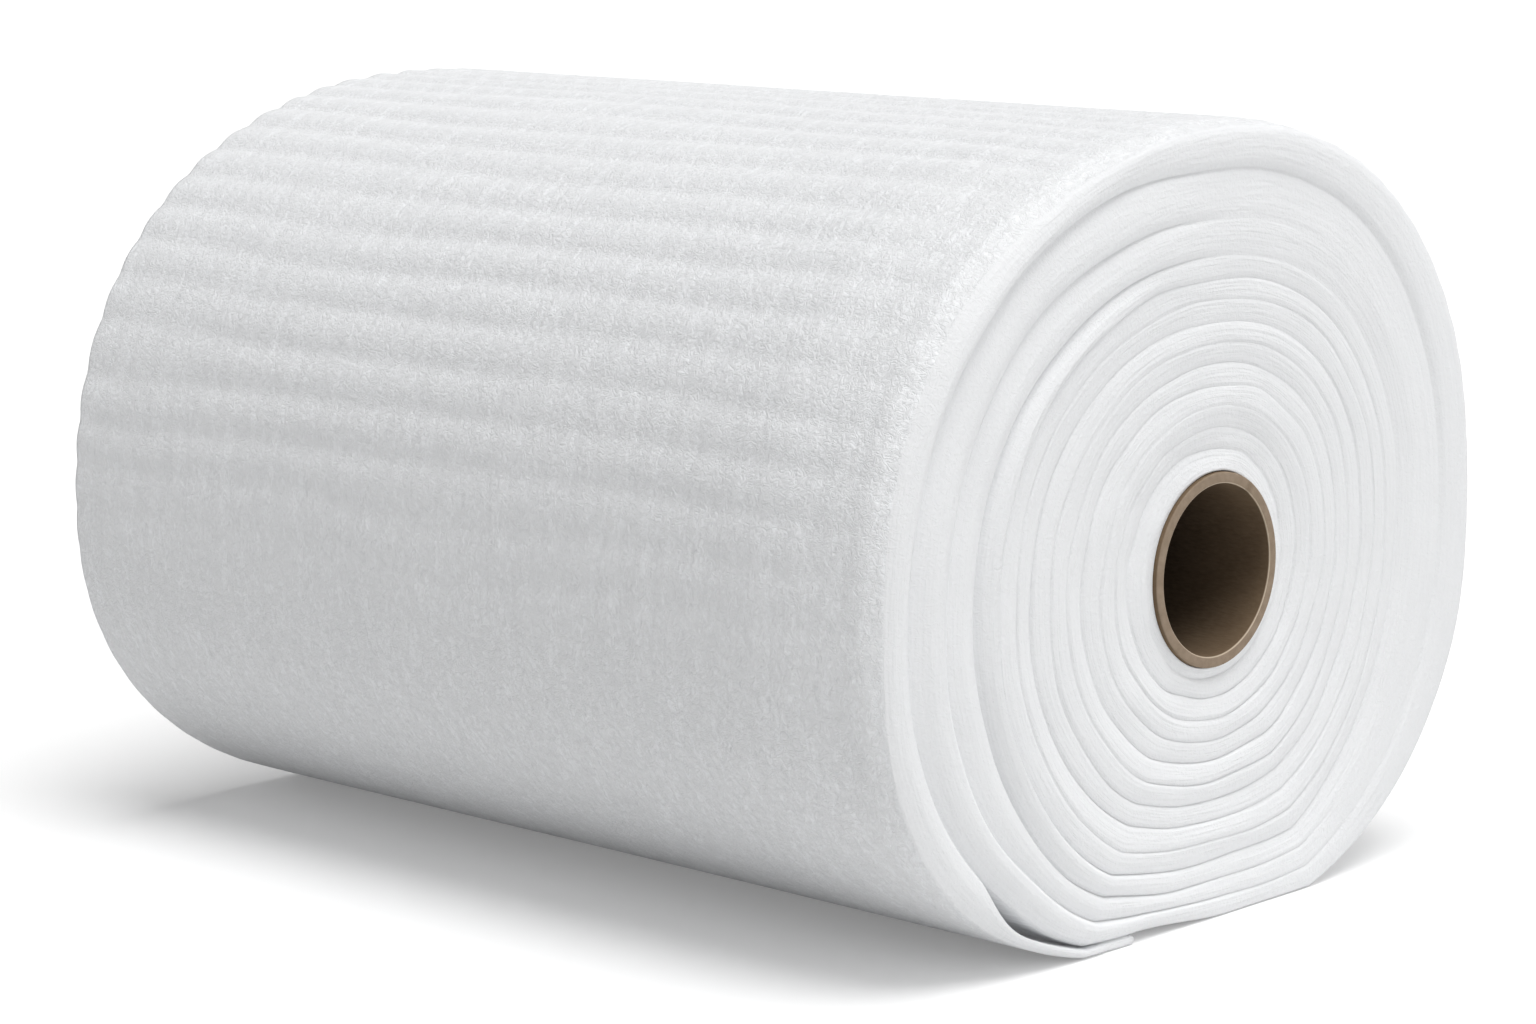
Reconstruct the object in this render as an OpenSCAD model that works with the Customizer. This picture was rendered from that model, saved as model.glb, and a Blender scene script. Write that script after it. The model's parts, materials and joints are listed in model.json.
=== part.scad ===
// A roll of white foam wrap on a brown paper core, lying on its side.
// The roll lies along X. Its section is in the YZ plane, and it rests on the plane Z = 0.
// Directions round the core are in degrees, from +Y towards +Z, which is also how the web is wound.

/* [Web] */
// Width of the foam web, which is the length of the roll
web_w = 508; // [300:1:900]
// Thickness of the foam web where nothing presses on it
web_t = 9.5; // [8.5:0.1:10.5]
// Number of turns from the core to the end of the tail
turns = 13.5; // [13:0.5:14.5]
// How many of those turns, on the outside, were wound loosely
loose_turns = 3; // [2.5:0.5:3.5]
// Direction from the core to the end of the tail, which lies under the roll
tail_angle = 251; // [247:1:275]
// How far the edge of the web strays sideways from turn to turn
stray = 3; // [0:0.5:6]
// How far the edge of a turn stands out of its groove, as a share of the turn's own pitch
edge_rise = 0.2; // [0.08:0.01:0.3]
// Where the crest of that edge lies, as a share of the pitch from its inner side
crest_place = 0.25; // [0.15:0.01:0.6]
// How deep the turns next to the core are dished in
core_dish = 4; // [0:0.1:6]

/* [Core] */
// Bore of the paper core
core_bore = 76.2; // [50:0.1:80]
// Wall of the paper core
core_wall = 5; // [3:0.1:6]
// How far the core stands out of the web at each end
core_proud = 1; // [0:0.1:5]
// Gap between the core and the first turn
core_fit = 0.3; // [0.2:0.05:0.6]

/* [Section] */
// Height of the core's axis over the floor
axis_h = 157.3; // [152:0.1:162]
// Reach of the section from the core's axis to the front
reach_front = 228.4; // [215:0.1:240]
// Reach of the section from the core's axis to the back
reach_back = 202.4; // [190:0.1:215]
// Reach of the section from the core's axis to the top
reach_top = 196; // [188:0.1:210]
// Reach that the section would have below the axis if the floor did not press it flat
reach_down = 166; // [163:0.1:175]
// How square the section is: 2 is an ellipse, and more is squarer
squareness = 2.25; // [2:0.05:2.6]
// Share of the foam's depth that the tight turns take where the roll is free of the floor
tight_share = 0.64; // [0.6:0.01:0.7]
// How much further the outermost turn stands off at the front and the back
slack = 0.2; // [0:0.05:0.4]

/* [Loose ends] */
// Thickness of the tail where the roll lies on it
tail_t = 4; // [3:0.1:6]
// Arc over which the roll comes down on the tail
tail_squeeze = 32; // [20:1:40]
// Arc over which the turn past the tail comes down to the floor
tail_step = 25; // [15:1:40]
// Share of its own pitch by which the outermost turn curls in at the near end, at the front
curl_near = 0.3; // [0:0.01:0.45]
// Share of its own pitch by which the outermost turn curls in at the far end, at the front
curl_far = 0.1; // [0:0.01:0.45]
// Length over which the outermost turn curls in
curl_len = 70; // [50:1:90]
// Arc before the tail over which the outermost turn stands off the turn below and leaves a gap
gap_arc = 38; // [30:1:60]
// How deep that gap reaches into the roll
gap_depth = 60; // [30:1:90]
// Depth of the waves that run along the outermost turn
wave_depth = 1.3; // [0.5:0.1:2.5]

/* [Hidden] */

// Stations in one turn of the web
per_turn = 64;
step = 360 / per_turn;
last = turns * per_turn;
tail = last - per_turn;
tight_turns = turns - loose_turns;

core_od = core_bore + 2 * core_wall;
core_len = web_w + 2 * core_proud;
bore_r = core_od / 2 + core_fit;
core_y = (reach_front - reach_back) / 2;
half_w = web_w / 2;

// Flats of the core's round surfaces, and how far its bore is cut past its ends
core_flats = 96;
cut_past = 1;

// Arcs from straight down within which a turn changes from pressed flat to free
pressed_arc = 10;
free_arc = 75;
// Share of the foam's depth that the tight turns take over the floor, where all turns are pressed alike
pressed_share = tight_turns / (turns - 1);
// Turns over which the edge rises to full ridges, and turns that the dish round the core takes
ridge_turns = 2.5;
dish_turns = 1.6;
// Arc over which the gap opens, and its depth for its width
opening_arc = 15;
gap_slope = 6;
// Where the gap is narrower than this it is a plain groove
least_gap = 0.3;
// Arc past the tail over which the curl of the outermost turn starts
curl_start = 30;
// Cosines of the directions between which the curl grows to its full depth at the front
curl_from = 0.1;
curl_full = -0.8;
// Slow sideways stray of the edge: share of it and waves in a turn, for two waves with a lag between them
slow_share = 0.3;
slow_waves = 0.39;
quick_share = 0.2;
quick_waves = 1.31;
stray_lag = 40;
// Depth of a wave: its least share, and how it changes round the roll and along it, in degrees
wave_least = 0.7;
wave_turn = 47;
wave_run = 0.5;

// Rows of points along the outermost turn, as distances from its ends
row_in = [14, 34, curl_len, (curl_len + half_w) / 2];
rows = [for (d = row_in) half_w - d, for (k = [len(row_in) - 1:-1:0]) row_in[k] - half_w];

function smooth(lo, hi, v) = let (t = max(0, min(1, (v - lo) / (hi - lo)))) t * t * (3 - 2 * t);
function direction(i) = tail_angle - (last - i) * step;
function from_floor(a) = acos(-sin(a));
function freedom(a) = smooth(pressed_arc, free_arc, from_floor(a));

// Distance from the core's axis to the outside of the section
function outline(a) =
    let (across = cos(a) < 0 ? reach_front : reach_back)
    let (along = sin(a) < 0 ? reach_down : reach_top)
    let (p = squareness)
    let (r = pow(pow(abs(cos(a)) / across, p) + pow(abs(sin(a)) / along, p), -1 / p))
    sin(a) < 0 ? min(r, -axis_h / sin(a)) : r;

// Distance from the core's axis to the outside of the tightly wound part
function tight_r(a) =
    let (share = pressed_share + (tight_share - pressed_share) * freedom(a))
    bore_r + share * (outline(a) - bore_r);

// How many whole turns lie outside station i, and which part of a turn it is past the tail
function turns_outside(i) = floor((last - i) / per_turn);
function past_tail(i) = 1 - ((last - i) / per_turn - turns_outside(i));

// Height that the tail's end still holds the outermost turn off the outline
function tail_lift(i) = tail_t * (1 - smooth(0, tail_step, 360 * past_tail(i)));

// Depth from the outline to the outside of the turn below the outermost one
function outer_pitch(i) =
    let (a = direction(i))
    let (loose = turns - 1 + past_tail(i) - tight_turns)
    let (even = (outline(a) - tail_lift(i) - tight_r(a)) / loose)
    let (free = tail_lift(i) + even * (1 + slack * pow(cos(a), 2)))
    tail_t + (free - tail_t) * smooth(0, tail_squeeze, 360 * (1 - past_tail(i)));

// Distance from the core's axis to the outside of the web at station i, away from the ends
function layer_r(i) =
    let (a = direction(i), wound = i / per_turn, outside = turns_outside(i))
    let (next_out = wound + outside - 1)
    outside == 0 ? outline(a) - tail_lift(i)
    : wound <= tight_turns ? bore_r + (tight_r(a) - bore_r) * wound / tight_turns
    : tight_r(a)
        + (outline(a) - outer_pitch(i) - tight_r(a)) * (wound - tight_turns) / (next_out - tight_turns);

// How far the outermost turn curls in at an end of the roll, given the curl's share
function curl(i, share) =
    turns_outside(i) > 0 ? 0
    : share * outer_pitch(i) * smooth(0, curl_start, 360 * past_tail(i))
        * (1 - smooth(curl_full, curl_from, cos(direction(i))));

// Outer and inner edge of the web at an end of the roll: the turns touch, except just before the tail
function outer_edge_r(i, share) = layer_r(i) - curl(i, share);
function gap(i, share) =
    let (clear = outer_edge_r(i + per_turn, share) - web_t - layer_r(i))
    i >= tail ? 0 : max(0, clear) * (1 - smooth(gap_arc - opening_arc, gap_arc, (tail - i) * step));
function inner_edge_r(i, share) =
    i <= per_turn ? bore_r : layer_r(i - per_turn) + gap(i - per_turn, share);

// The web is as wide all along, so where one edge strays out the other strays in
function strayed(i) =
    let (wound = i * step)
    stray * (slow_share * sin(slow_waves * wound) + quick_share * sin(quick_waves * wound + stray_lag));
function ridge(i) =
    edge_rise * (layer_r(i) - (i <= per_turn ? bore_r : layer_r(i - per_turn)))
        * smooth(0, ridge_turns, i / per_turn);
function dished(i) = core_dish * (1 - smooth(0, dish_turns, i / per_turn));
function crest_x(i, side) = side * (half_w - dished(i)) + strayed(i);
function groove_x(i, side) = crest_x(i, side) - side * ridge(i);

function at(i, r, x) = [x, core_y + r * cos(direction(i)), axis_h + r * sin(direction(i))];

// The points at one end: the rim of the bore, then crest, outer edge, gap root and inner edge per station
function end_points(side, share) = concat(
    [for (j = [0:per_turn - 1]) at(j, bore_r / cos(step / 2), side * (half_w - core_dish))],
    [for (i = [0:last])
        at(i, inner_edge_r(i, share) * (1 - crest_place) + outer_edge_r(i, share) * crest_place,
            crest_x(i, side))],
    [for (i = [0:last]) at(i, outer_edge_r(i, share), groove_x(i, side))],
    [for (i = [0:tail])
        at(i, layer_r(i) + gap(i, share) / 2,
            groove_x(i, side) - side * min(gap_depth, gap_slope * gap(i, share)))],
    [for (i = [0:tail])
        at(i, layer_r(i) + gap(i, share), groove_x(i + per_turn, side))]
);
end_size = per_turn + 2 * (last + 1) + 2 * (tail + 1);

// Where each of those points is in the list
function bore_at(e, j) = e * end_size + j % per_turn;
function crest_at(e, i) = i == 0 ? bore_at(e, 0) : e * end_size + per_turn + i;
function edge_at(e, i) = i == 0 ? bore_at(e, 0) : e * end_size + per_turn + last + 1 + i;
function open_at(e, i) = i < tail && gap(i, curls[e]) > least_gap;
function root_at(e, i) =
    open_at(e, i) ? e * end_size + per_turn + 2 * (last + 1) + i : edge_at(e, i);
function inner_at(e, i) =
    open_at(e, i) ? e * end_size + per_turn + 2 * (last + 1) + tail + 1 + i : edge_at(e, i);
function under_at(e, i) = i <= per_turn ? bore_at(e, i) : inner_at(e, i - per_turn);

curls = [curl_near, curl_far];
sides = [1, -1];

// The outermost turn has a point at every half station, and every second one is in the trough of a wave
row_len = 2 * per_turn + 1;
function wave(h, x) =
    h % 2 == 0 ? 0
    : wave_depth * freedom(direction(tail + h / 2))
        * (wave_least + (1 - wave_least) * sin(h * wave_turn + x * wave_run));
function curled(i, x) =
    let (share = x > 0 ? curl_near : curl_far)
    curl(i, share) * (1 - smooth(0, curl_len, half_w - abs(x)));
row_points = [for (x = rows, h = [0:row_len - 1])
    let (i = tail + h / 2)
    at(i, (h == 0 ? layer_r(tail) : outline(direction(i)) - tail_lift(i)) - curled(i, x) - wave(h, x), x)];
function row_at(k, h) = 2 * end_size + k * row_len + h;

// A four-sided face as two triangles, without those that have no area
function tri(a, b, c) = a == b || b == c || c == a ? [] : [[a, b, c]];
function quad(a, b, c, d) = concat(tri(a, b, c), tri(a, c, d));
function flipped(faces) = [for (f = faces) [f[2], f[1], f[0]]];
function joined(lists) = [for (l = lists, f = l) f];

// Faces at one end: both flanks of every ridge, and both walls of every open gap
function end_faces(e) = concat(
    joined([for (i = [0:last - 1]) concat(
        quad(under_at(e, i), under_at(e, i + 1), crest_at(e, i + 1), crest_at(e, i)),
        quad(crest_at(e, i), crest_at(e, i + 1), edge_at(e, i + 1), edge_at(e, i)))]),
    joined([for (i = [0:tail - 1]) concat(
        quad(edge_at(e, i), edge_at(e, i + 1), root_at(e, i + 1), root_at(e, i)),
        quad(root_at(e, i), root_at(e, i + 1), inner_at(e, i + 1), inner_at(e, i)))])
);

// Faces from the outer edge of the last turn to its first row of points
function rim_faces(e, row) = joined([for (n = [0:per_turn - 1])
    let (i = tail + n, h = 2 * n)
    [
        [edge_at(e, i), edge_at(e, i + 1), row_at(row, h + 1)],
        [edge_at(e, i + 1), row_at(row, h + 2), row_at(row, h + 1)],
        [edge_at(e, i), row_at(row, h + 1), row_at(row, h)]
    ]]);

last_row = len(rows) - 1;
outside_faces = joined([for (k = [0:last_row - 1], h = [0:row_len - 2])
    quad(row_at(k, h), row_at(k, h + 1), row_at(k + 1, h + 1), row_at(k + 1, h))]);
bore_faces = joined([for (j = [0:per_turn - 1])
    quad(bore_at(1, j), bore_at(1, j + 1), bore_at(0, j + 1), bore_at(0, j))]);

// The cut end of the web, which lies squeezed between the roll and the floor
row_end = row_len - 1;
function tail_corner(e, row) = [
    [edge_at(e, tail), row_at(row, 0), row_at(row, row_end)],
    [edge_at(e, tail), row_at(row, row_end), edge_at(e, last)],
    [edge_at(e, tail), edge_at(e, last), crest_at(e, last)]
];
tail_faces = concat(
    tail_corner(0, 0),
    flipped(tail_corner(1, last_row)),
    joined([for (k = [0:last_row - 1])
        quad(row_at(k, 0), row_at(k + 1, 0), row_at(k + 1, row_end), row_at(k, row_end))])
);

module core() {
    color("peru")
    translate([-core_len / 2, core_y, axis_h])
    rotate([0, 90, 0])
    difference() {
        cylinder(h = core_len, d = core_od, $fn = core_flats);
        translate([0, 0, -cut_past])
        cylinder(h = core_len + 2 * cut_past, d = core_bore, $fn = core_flats);
    }
}

module foam_roll() {
    color("whitesmoke")
    polyhedron(
        points = concat(end_points(sides[0], curls[0]), end_points(sides[1], curls[1]), row_points),
        faces = concat(
            end_faces(0),
            flipped(end_faces(1)),
            rim_faces(0, 0),
            flipped(rim_faces(1, last_row)),
            outside_faces,
            bore_faces,
            tail_faces),
        convexity = 20);
}

core();
foam_roll();
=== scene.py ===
# %% [markdown]
# # A roll of foam wrap
#
# The object is a fat roll of white packing foam, about half a metre long, on a brown paper core.
# It is one long web of soft foam, wound round and round, so its outside is wavy, its two ends show
# the web's edge as a spiral, and its last turns hang loose. This script gives it its looks. The sizes
# come from a frame that is loaded first, and nothing in that frame is ever moved.

# %% Load the frame
import json
import math

import bpy
import numpy as np
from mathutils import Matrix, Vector


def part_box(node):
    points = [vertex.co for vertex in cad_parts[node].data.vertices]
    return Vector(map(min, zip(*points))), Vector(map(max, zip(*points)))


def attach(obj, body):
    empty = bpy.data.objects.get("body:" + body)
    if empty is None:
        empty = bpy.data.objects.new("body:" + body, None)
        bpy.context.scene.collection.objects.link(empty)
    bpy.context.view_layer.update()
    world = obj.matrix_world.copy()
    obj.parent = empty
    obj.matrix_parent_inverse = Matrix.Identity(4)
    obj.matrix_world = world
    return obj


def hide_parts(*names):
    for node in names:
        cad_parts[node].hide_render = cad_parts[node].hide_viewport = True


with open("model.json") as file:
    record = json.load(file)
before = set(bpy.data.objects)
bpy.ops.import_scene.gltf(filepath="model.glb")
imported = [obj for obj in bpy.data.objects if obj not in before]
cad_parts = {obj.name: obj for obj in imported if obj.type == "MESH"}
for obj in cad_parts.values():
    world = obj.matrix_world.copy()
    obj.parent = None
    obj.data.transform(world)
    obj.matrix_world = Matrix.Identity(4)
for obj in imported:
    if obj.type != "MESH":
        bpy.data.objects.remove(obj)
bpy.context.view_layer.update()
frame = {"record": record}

# %% [markdown]
# ## The camera
#
# The photograph was taken from the right of the roll's near end, a little above it, with a long lens,
# because far and near parts have almost the same size. A long lens needs a camera that stands well
# back. It could be aimed with a constraint, but two angles say the same thing and are easier to read:
# how far it turns from looking along +Y, and how far it looks down.

# %% Camera
camera_place = Vector((1.3047, -1.4039, 0.4854))
camera_turn = math.radians(42.9)
camera_down = math.radians(9.79)
camera_lens_mm = 96.1

camera_data = bpy.data.cameras.new("camera")
camera_data.sensor_width = 36.0
camera_data.lens = camera_lens_mm
camera_data.clip_end = 100.0
camera = bpy.data.objects.new("camera", camera_data)
camera.location = camera_place
camera.rotation_euler = (math.radians(90) - camera_down, 0.0, camera_turn)
bpy.context.scene.collection.objects.link(camera)
bpy.context.scene.camera = camera
print("camera stands", round(camera_place.length, 3), "m from the middle of the roll's foot")

# %% [markdown]
# ## Sizes
#
# What the frame can tell is measured on it: where the core's axis is, how long the web is, and how
# far the roll reaches in each direction. The rest are the sizes of the winding itself, in metres and
# degrees, such as the number of turns. Directions round the core are counted from +Y towards +Z.

# %% Sizes measured on the frame
core_low, core_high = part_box("core")
foam_low, foam_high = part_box("foam_roll")
bore = frame["record"]["mounts"][0]["dims"]
core_inside = bore["r_mm"] / 1000
core_outside = (core_high.z - core_low.z) / 2
core_length = core_high.x - core_low.x
axis_y = (core_low.y + core_high.y) / 2
axis_z = (core_low.z + core_high.z) / 2
reach_front = axis_y - foam_low.y
reach_back = foam_high.y - axis_y
reach_top = foam_high.z - axis_z
core_wall = core_outside - core_inside
print("core", round(core_length * 1000), "mm long, wall", round(core_wall * 1000, 1), "mm")

# %% Sizes of the winding
core_proud = 0.001
web_width = core_length - 2 * core_proud
half_width = web_width / 2
web_thickness = 0.0095
turns = 13.5
loose_turns = 3
tight_turns = turns - loose_turns
tail_angle = 251.0
bore_radius = core_outside + 0.0003
reach_down = 0.166
squareness = 2.25
tight_share = 0.64
pressed_share = tight_turns / (turns - 1)
slack = 0.2
tail_thickness = 0.004
tail_squeeze = 32.0
tail_step = 25.0
print("about", round(turns * math.pi * (core_outside + reach_top), 1), "m of web on the roll")

# %% [markdown]
# ## The winding as a formula
#
# A spiral could be drawn with a curve and a bevel, but every turn here has its own shape: round at
# the core, square and slumped outside, pressed flat under its own weight, loose near the end. So the
# winding is a formula. A station is a place along the web, counted from the core, with 256 of them
# to a turn, and `web_radius` says how far from the axis the outside of the web is at a station.
# Because numpy works on whole arrays, one call gives it for all stations at once.

# %% Places along the web
per_turn = 256
last = int(turns * per_turn)
tail = last - per_turn


def smooth(low, high, value):
    """0 below low, 1 above high, and a soft rise between them."""
    t = np.clip((value - low) / (high - low), 0.0, 1.0)
    return t * t * (3.0 - 2.0 * t)


def direction(station):
    """Direction from the core to a station, in degrees."""
    return tail_angle - (last - station) * 360.0 / per_turn


def freedom(angle):
    """0 where the roll is pressed on the floor, 1 where it is free."""
    from_floor = np.degrees(np.arccos(np.clip(-np.sin(np.radians(angle)), -1.0, 1.0)))
    return smooth(10.0, 75.0, from_floor)


# %% The section of the roll
def outline(angle):
    """Distance from the axis to the outside of the roll: a squarish oval with a flat spot."""
    c = np.cos(np.radians(angle))
    s = np.sin(np.radians(angle))
    across = np.where(c < 0, reach_front, reach_back)
    along = np.where(s < 0, reach_down, reach_top)
    oval = (np.abs(c / across) ** squareness + np.abs(s / along) ** squareness) ** (-1 / squareness)
    floor = axis_z / np.maximum(-s, 1e-6)
    return np.where(s < 0, np.minimum(oval, floor), oval)


def tight_radius(angle):
    """Distance from the axis to the outside of the tightly wound turns."""
    share = pressed_share + (tight_share - pressed_share) * freedom(angle)
    return bore_radius + share * (outline(angle) - bore_radius)


print("tight turns reach", round(float(tight_radius(90.0)) * 1000), "mm up from the axis")


# %% The turns
def turns_outside(station):
    """How many whole turns lie outside a station."""
    return np.floor((last - station) / per_turn)


def past_tail(station):
    """Which part of a turn the station is past the tail."""
    return 1.0 - ((last - station) / per_turn - turns_outside(station))


def tail_lift(part):
    """How far the tail's end still holds the outermost turn off the floor."""
    return tail_thickness * (1.0 - smooth(0.0, tail_step, 360.0 * part))


def outer_pitch(station):
    """Depth from the outside of the roll to the outside of the turn below."""
    angle, part = direction(station), past_tail(station)
    loose = turns - 1.0 + part - tight_turns
    even = (outline(angle) - tail_lift(part) - tight_radius(angle)) / loose
    free = tail_lift(part) + even * (1.0 + slack * np.cos(np.radians(angle)) ** 2)
    return tail_thickness + (free - tail_thickness) * smooth(0.0, tail_squeeze, 360.0 * (1.0 - part))


def rounded(tight, angle, wound):
    """The tight section, drawn rounder for the turns further in, which feel less of the floor."""
    below = np.minimum(np.sin(np.radians(angle)), 0.0)
    side = tight_radius(np.where(np.cos(np.radians(angle)) < 0, 180.0, 0.0))
    bottom = bore_radius + pressed_share * (axis_z - bore_radius)
    oval = 1.0 / np.sqrt((1.0 - below ** 2) / side ** 2 + (below / bottom) ** 2)
    share = np.where(below < 0, 1.0 - smooth(0.0, tight_turns, wound), 0.0)
    return tight + (np.minimum(oval, tight) - tight) * share


def web_radius(station):
    """Distance from the axis to the outside of the web."""
    angle, wound, outside = direction(station), station / per_turn, turns_outside(station)
    tight = tight_radius(angle)
    next_out = wound + outside - 1.0
    in_tight = bore_radius + (rounded(tight, angle, wound) - bore_radius) * wound / tight_turns
    loose_share = (wound - tight_turns) / np.maximum(next_out - tight_turns, 1e-6)
    in_loose = tight + (outline(angle) - outer_pitch(station) - tight) * loose_share
    outermost = outline(angle) - tail_lift(past_tail(station))
    return np.where(outside == 0, outermost, np.where(wound <= tight_turns, in_tight, in_loose))


stations = np.arange(last + 1, dtype=float)
print("mean pitch of the turns", round(float(np.ptp(web_radius(stations))) / turns * 1000, 2), "mm")

# %% [markdown]
# ## Waves and dents
#
# Foam wrap is never smooth. Winding it makes waves across it, with round crests and sharp troughs,
# and handling leaves dents. The rim of the near end is worn round. A bump map would look right from
# the front, but the outline of the roll is scalloped too, so these are real shapes in the mesh.
# `soft_noise` is what keeps them from looking machined: random heights on a grid, joined by smooth
# slopes. Its seed is fixed, so the roll is the same each time.

# %% Soft noise


def soft_noise(seed, across, along, cells=128):
    """Smooth random heights from -1 to 1, with one bump or hollow to each unit."""
    heights = np.random.default_rng(seed).uniform(-1.0, 1.0, (cells, cells))
    a, b = np.broadcast_arrays(across, along)
    a0, b0 = np.floor(a).astype(int), np.floor(b).astype(int)
    ta, tb = smooth(0.0, 1.0, a - a0), smooth(0.0, 1.0, b - b0)

    def height(i, j):
        return heights[(a0 + i) % cells, (b0 + j) % cells]

    low = height(0, 0) * (1 - ta) + height(1, 0) * ta
    high = height(0, 1) * (1 - ta) + height(1, 1) * ta
    return low * (1 - tb) + high * tb


# %% The outside of the roll
waves = 64
trough_round = 0.004
wave_depth = 0.0019
dent_depth = 0.0008
curl_length = 0.070
rim_round = 0.006
rim_length = 0.018
far_rim = 0.05
far_share = 0.5
calm_arc = (15.0, 75.0)


def relief(part, x):
    """How far the outside lies below the outline, at a part of the outermost turn and a place x."""
    angle = tail_angle + 360.0 * part
    upper = smooth(-0.25, 0.45, np.sin(np.radians(angle)))
    near = half_width - x
    phase = waves * part + 0.22 * soft_noise(1, part * 30, x / 0.11)
    scallop = 1.0 - np.sqrt(np.cos(math.pi * phase) ** 2 + trough_round)
    strength = (0.15 + 0.85 * upper) * (0.8 + 0.35 * soft_noise(2, part * 40, x / 0.07))
    calm_shoulder = 0.3 + 0.7 * smooth(0.0, curl_length, near)
    wave = wave_depth * scallop * strength * calm_shoulder

    dent = dent_depth * (0.5 + 0.5 * soft_noise(5, part * 16, x / 0.09))
    at_front = 0.5 + 0.5 * smooth(-0.1, 0.8, -np.cos(np.radians(angle)))
    end_share = np.where(x > 0, 1.0, far_rim)
    at_rim = (1.0 - smooth(0.0, rim_length, half_width - np.abs(x))) ** 1.5
    rounding = rim_round * at_front * end_share * at_rim
    before_tail = smooth(*calm_arc, 360.0 * (1.0 - part))
    return freedom(angle) * (wave + dent + rounding * before_tail)


# %% [markdown]
# ## The two ends
#
# At each end the edge of the web makes a low flat ridge with a fine groove between one turn and the
# next. The loose turns at the front slope away outwards, so they lie like shingles. The first turns
# are dished in round the core. The ridge strays a little sideways from turn to turn, because nobody
# winds a web exactly. Just before the tail, the outermost turn stands off the turn below and leaves a
# gap like a wedge that reaches some centimetres into the roll. The far end, which the photograph
# doesn't show, is made the same way with lower ridges and a crisper rim.

# %% Edges and gaps
tight_rise = 0.0013
loose_rise = 0.0050
core_level = 0.0012
core_dish = 0.0028
dish_turns = 2.4
stray = 0.0022
slow_share = 0.3
slow_waves = 0.39
quick_share = 0.2
quick_waves = 1.31
stray_lag = math.radians(40)
stray_noise = 0.0004
wander = 0.0011
outermost_share = 0.38
uneven_share = 0.35
thin_arc = 75.0
ridge_turns = 2.5
gap_arc = 38.0
opening_arc = 15.0
gap_depth = 0.060
gap_slope = 6.0
least_gap = 0.0003
curl_start = 30.0
curl_from = 0.1
curl_full = -0.8
curls = {1: 0.3, -1: 0.0}


def strayed(station):
    """How far the web lies off its place sideways."""
    wound = np.radians(station * 360.0 / per_turn)
    slow = slow_share * np.sin(slow_waves * wound)
    quick = quick_share * np.sin(quick_waves * wound + stray_lag)
    return stray * (slow + quick) + stray_noise * soft_noise(6, station / 9.0, 0.0, 1024)


def shingled(station):
    """1 where the turns are loose and slope away outwards, at the front, and 0 where they are tight."""
    at_front = smooth(-0.1, 0.8, -np.cos(np.radians(direction(station))))
    loose = at_front * smooth(tight_turns - 1.5, tight_turns + 0.3, station / per_turn)
    past = smooth(0.0, 60.0, 360.0 * past_tail(station))
    outermost = np.where(turns_outside(station) == 0, past, 0.0)
    return np.maximum(loose, outermost_share * outermost * freedom(direction(station)))


def ridge(station, side):
    """How far the web's edge stands out of its groove."""
    end_share = 1.0 if side == 1 else far_share
    underside = 0.5 - 0.5 * np.sin(np.radians(direction(station)))
    flat = tight_rise * (0.45 + 0.55 * underside) * smooth(0.0, ridge_turns, station / per_turn)
    at_back = smooth(0.1, 0.8, np.cos(np.radians(direction(station))))
    loose = smooth(tight_turns - 1.0, tight_turns + 0.5, station / per_turn)
    flat = flat * (1.0 - 0.75 * at_back * loose)
    uneven = 1.0 + uneven_share * soft_noise(7, station / 26.0, 0.5, 512)
    return (flat + (loose_rise * end_share - flat) * shingled(station)) * uneven


def dished(station):
    """How far the first turns are sunk in: level with the core, then a soft hollow round it."""
    wound = station / per_turn
    hollow = smooth(0.0, 0.8, wound) * (1.0 - smooth(0.8, dish_turns, wound))
    return core_level + core_dish * hollow - core_level * smooth(0.8, dish_turns, wound)


def groove_x(station, side):
    """Where the groove beside a station lies along the core's axis."""
    return side * (half_width - dished(station) - ridge(station, side)) + strayed(station)


def curl(pitch, part, angle, share):
    """How far the outermost turn curls in at an end of the roll, which it does most at the front."""
    at_front = 1.0 - smooth(curl_full, curl_from, np.cos(np.radians(angle)))
    before_tail = smooth(*calm_arc, 360.0 * (1.0 - part))
    return share * pitch * smooth(0.0, curl_start, 360.0 * part) * at_front * before_tail


def outer_edge_radius(station, side):
    """Radius of the web's outer edge, which curls in on the outermost turn."""
    part = past_tail(station)
    outermost = turns_outside(station) == 0
    inward = curl(outer_pitch(station), part, direction(station), curls[side])
    worn = relief(part, groove_x(station, side))
    return web_radius(station) - np.where(outermost, inward + worn, 0.0)


def gap_width(station, side):
    """Width of the gap between the web and the turn outside it."""
    outside = np.minimum(station + per_turn, last)
    before_tail = (tail - station) * 360.0 / per_turn
    thickness = tail_thickness + (web_thickness - tail_thickness) * smooth(0.0, thin_arc, before_tail)
    clear = outer_edge_radius(outside, side) - thickness - web_radius(station)
    opening = 1.0 - smooth(gap_arc - opening_arc, gap_arc, before_tail)
    return np.where(station < tail, np.maximum(clear, 0.0) * opening, 0.0)


def turn_edge(station, side):
    """Radius where one turn's edge meets the next, which wanders a little off the winding."""
    before_tail = (tail - station) * 360.0 / per_turn
    fade = smooth(0.0, 1.0, station / per_turn) * smooth(gap_arc, gap_arc + 30.0, before_tail)
    return web_radius(station) + wander * fade * soft_noise(8 + side, station / 11.0, 0.5, 1024)


for side, name in ((1, "near"), (-1, "far")):
    widest = float(gap_width(stations, side).max())
    print("widest gap at the", name, "end", round(widest * 1000, 1), "mm")

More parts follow.
